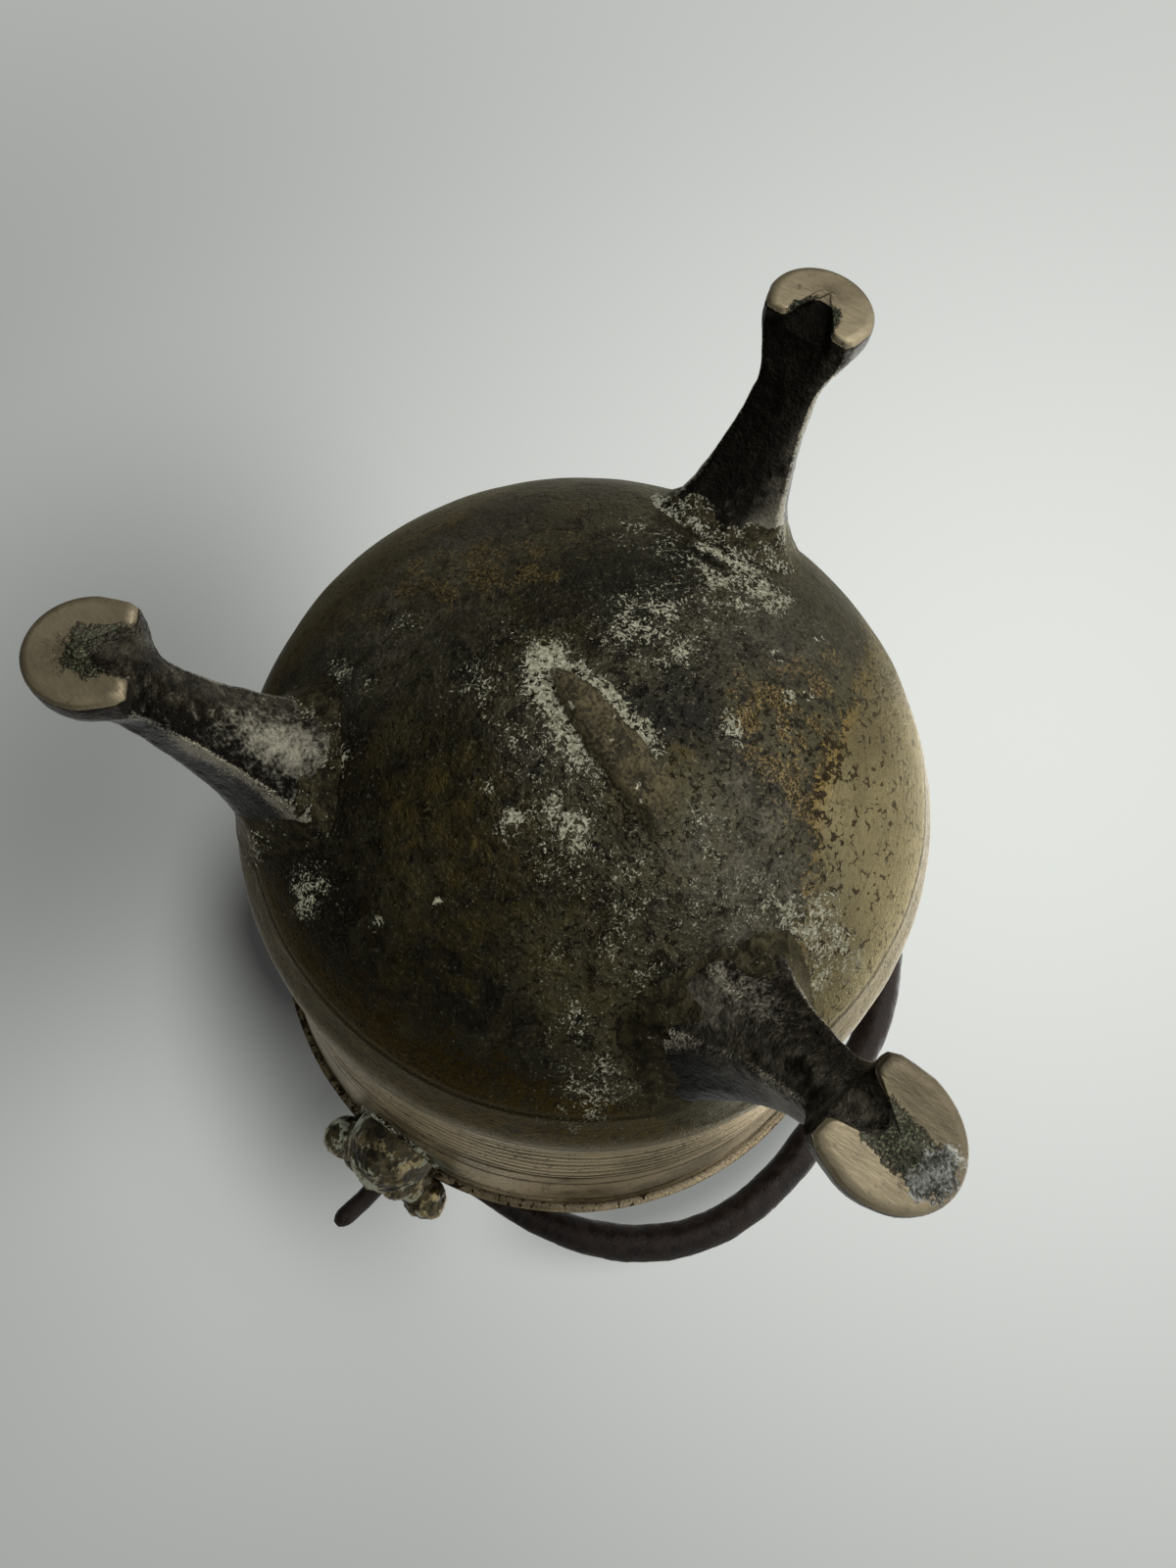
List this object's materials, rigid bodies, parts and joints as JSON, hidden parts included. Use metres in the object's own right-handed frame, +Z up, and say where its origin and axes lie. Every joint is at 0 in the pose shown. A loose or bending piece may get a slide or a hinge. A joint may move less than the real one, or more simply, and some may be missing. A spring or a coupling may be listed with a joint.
{
  "type": "tripod cauldron",
  "caption": "Cast brass cauldron with a domed base, flared wall, splayed hoof-footed legs, lobed lugs and a swinging iron bail handle.",
  "frame": {"origin": "on the bowl's axis, on the plane of the three soles", "axes": "+Z up the bowl's axis towards the mouth, +X along the bail's hinge axis through both lugs, -Y the side that the bail lies over at rest"},
  "size_m": [0.2238, 0.1879, 0.1952],
  "materials": {
    "bowl_brass": "turned brass under a dark brown and olive patina, worn bright at the belly and rim",
    "leg_bronze": "black-brown cast skin, soles worn to satin tan metal",
    "braze": "rough brazing metal with pale lime deposit",
    "lug_bronze": "weathered casting with pale green corrosion in the hollows",
    "bail_iron": "forged iron, dark rust-brown with a slight sheen"
  },
  "bodies": {
    "pot": {"bowl": "bowl_brass", "leg_front_right": "leg_bronze", "leg_back_right": "leg_bronze", "leg_left": "leg_bronze", "leg_braze_front_right": "braze", "leg_braze_back_right": "braze", "leg_braze_left": "braze", "lug_right": "lug_bronze", "lug_left": "lug_bronze", "lug_braze_right": "braze", "lug_braze_left": "braze"},
    "bail": {"bail": "bail_iron"}
  },
  "joints": [
    {"name": "bail_swing", "type": "hinge", "parent": "pot", "child": "bail", "pos_m": [0, 0, 0.1866], "axis": [-1, 0, 0], "range_deg": [0, 180]}
  ]
}
